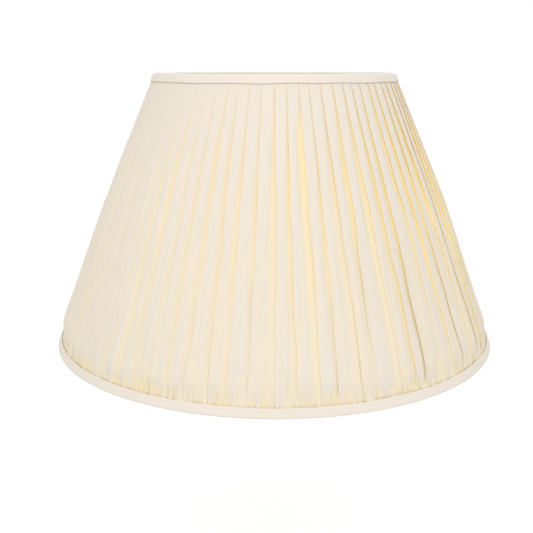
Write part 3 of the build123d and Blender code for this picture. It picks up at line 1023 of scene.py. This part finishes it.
def lug_sleeve(name, node, salt):
    """A tube out along the lug to its inner end, then back inside itself."""
    low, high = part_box(node)
    side = 1 if low.x > 0 else -1
    outer_x, inner_x = (high.x, low.x) if side > 0 else (low.x, high.x)
    half_y, half_z = (high.y - low.y) / 2, (high.z - low.z) / 2
    middle = (low.z + high.z) / 2
    steps = [(outer_x + (inner_x - outer_x) * i / SLEEVE_STEPS, 0.0) for i in range(SLEEVE_STEPS)]
    steps += [(inner_x, inside) for inside in END_STATIONS]
    steps += [(inner_x + (outer_x - inner_x) * i / SLEEVE_STEPS, 1.0) for i in range(1, SLEEVE_STEPS + 1)]
    rows, cloth_rows = [], []
    for j, (x, inside) in enumerate(steps):
        row, cloth_row = [], []
        for i in range(SLEEVE_COLUMNS):
            turn = math.tau * i / SLEEVE_COLUMNS
            y = math.copysign(abs(math.cos(turn)) ** SLEEVE_SQUARENESS, math.cos(turn))
            z = math.copysign(abs(math.sin(turn)) ** SLEEVE_SQUARENESS, math.sin(turn))
            pucker = wander(math.cos(turn) * 4, math.sin(turn) * 4, salt + x / (2 * MM)) * PUCKER_DEPTH
            shrink = SLEEVE_WALL * inside - min(pucker, PUCKER_MOST)
            end = side * END_BULGE * math.sin(math.pi * inside)
            row.append((x - end, y * (half_y - shrink), middle + z * (half_z - shrink)))
            cloth_row.append((turn * 4.3 * MM, j * 0.4 * MM))
        rows.append(row)
        cloth_rows.append(cloth_row)
    return woven(name, rows, cloth_rows, LINING_CLOTH, around=True)


for side in ("left", "right"):
    node = f"lug_sleeve_{side}"
    sleeve = lug_sleeve(f"folded_sleeve_{side}", node, 71.0)
    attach(sleeve, "shade")
    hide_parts(node)

# %% [markdown]
# ## Painted steel, plated steel and plastic
# The wire, the lugs and the gimbal are steel under a white powder coat, which sets with a faint
# orange-peel skin and wears grey along the edges that are handled. The rivets and washers are
# zinc plated: grey, slightly cloudy, with fine scratches. The reducer is moulded plastic with a
# soft spark-eroded grain. One group, the grain, serves them all. Only the paint shows wear.

# %% The grain group
def make_grain():
    tree = bpy.data.node_groups.new("grain", "ShaderNodeTree")
    for label, value in (("Grains per metre", 900.0), ("Cloud", 60.0)):
        socket = tree.interface.new_socket(name=label, in_out="INPUT", socket_type="NodeSocketFloat")
        socket.default_value = value
    for label in ("Height", "Tone"):
        tree.interface.new_socket(name=label, in_out="OUTPUT", socket_type="NodeSocketFloat")
    entry, leave = tree.nodes.new("NodeGroupInput"), tree.nodes.new("NodeGroupOutput")
    where = output(add_node(tree, "ShaderNodeTexCoord"), "Object")
    fine = noise(tree, where, scale=Field(tree, entry.outputs["Grains per metre"]), detail=2.0)
    cloud = noise(tree, where, scale=Field(tree, entry.outputs["Cloud"]), detail=4.0)
    tree.links.new((fine + 0.5).socket, leave.inputs["Height"])
    tree.links.new((cloud * 0.8 + fine * 0.3 + 0.5).socket, leave.inputs["Tone"])
    return tree


GRAIN = make_grain()


print("grain group with", len(GRAIN.nodes), "nodes")

# %% Finishes with grain
GRAIN_RELIEF = 0.1 * MM
ROUGHNESS_SPREAD = 0.14
RUBBED_ROUGHNESS = 0.36
RUBBED_EDGE = 0.5 * MM


def metal_or_plastic(name, light, dark, grains, cloud, rough, metallic=0.0, bump=0.15, worn=None, edge=None):
    """A finish with grain. `edge` is how far from the X axis a strip's edges lie, where it wears."""
    material = bpy.data.materials.new(name)
    material.use_nodes = True
    tree = material.node_tree
    surface = tree.nodes["Principled BSDF"]
    grain = tree.nodes.new("ShaderNodeGroup")
    grain.node_tree = GRAIN
    grain.inputs["Grains per metre"].default_value = grains
    grain.inputs["Cloud"].default_value = cloud
    tone = output(grain, "Tone")
    colour = colour_mix(tree, tone.step(0.2, 0.8), light, dark)
    roughness = tone * ROUGHNESS_SPREAD + (rough - ROUGHNESS_SPREAD / 2)
    surface.inputs["Metallic"].default_value = metallic
    if worn:
        where = output(add_node(tree, "ShaderNodeTexCoord"), "Object")
        rub = noise(tree, where, scale=420.0, detail=5.0, roughness=0.7)
        off_axis = output(add_node(tree, "ShaderNodeSeparateXYZ", Vector=where), "Y").math("ABSOLUTE")
        wear = (rub + off_axis.step(edge - RUBBED_EDGE, edge) * 0.22).step(0.27, 0.36)
        colour = colour_mix(tree, wear, colour, worn)
        roughness = roughness.to(RUBBED_ROUGHNESS, wear)
        plug(tree, surface.inputs["Metallic"], wear * 0.9)
    plug(tree, surface.inputs["Base Color"], colour)
    plug(tree, surface.inputs["Roughness"], roughness)
    relief = add_node(
        tree, "ShaderNodeBump", Strength=bump, Distance=GRAIN_RELIEF, Height=output(grain, "Height"),
    )
    plug(tree, surface.inputs["Normal"], output(relief, "Normal"))
    return material


# %% Dress the parts that keep their shape
WHITE = (0.84, 0.84, 0.82)
STRIP_EDGE = 5.0 * MM
FINISHES = {
    "frame_wire": metal_or_plastic("frame_wire", WHITE, (0.78, 0.78, 0.75), 1100.0, 80.0, 0.42),
    "gimbal_paint": metal_or_plastic(
        "gimbal_paint", WHITE, (0.79, 0.79, 0.765), 1100.0, 60.0, 0.4,
        worn=(0.42, 0.41, 0.4), edge=STRIP_EDGE,
    ),
    "pivot_steel": metal_or_plastic(
        "pivot_steel", (0.66, 0.67, 0.68), (0.5, 0.5, 0.49), 1500.0, 240.0, 0.36, metallic=1.0, bump=0.1,
    ),
    "reducer_plastic": metal_or_plastic(
        "reducer_plastic", (0.86, 0.86, 0.845), (0.82, 0.82, 0.8), 2400.0, 45.0, 0.5, bump=0.25,
    ),
}
dressed = 0
for row in frame["record"]["subparts"]:
    if row["material_slot"] in FINISHES:
        for slot in frame["nodes"][row["node"]].material_slots:
            slot.material = FINISHES[row["material_slot"]]
            dressed += 1
print(f"{dressed} parts of the frame dressed")
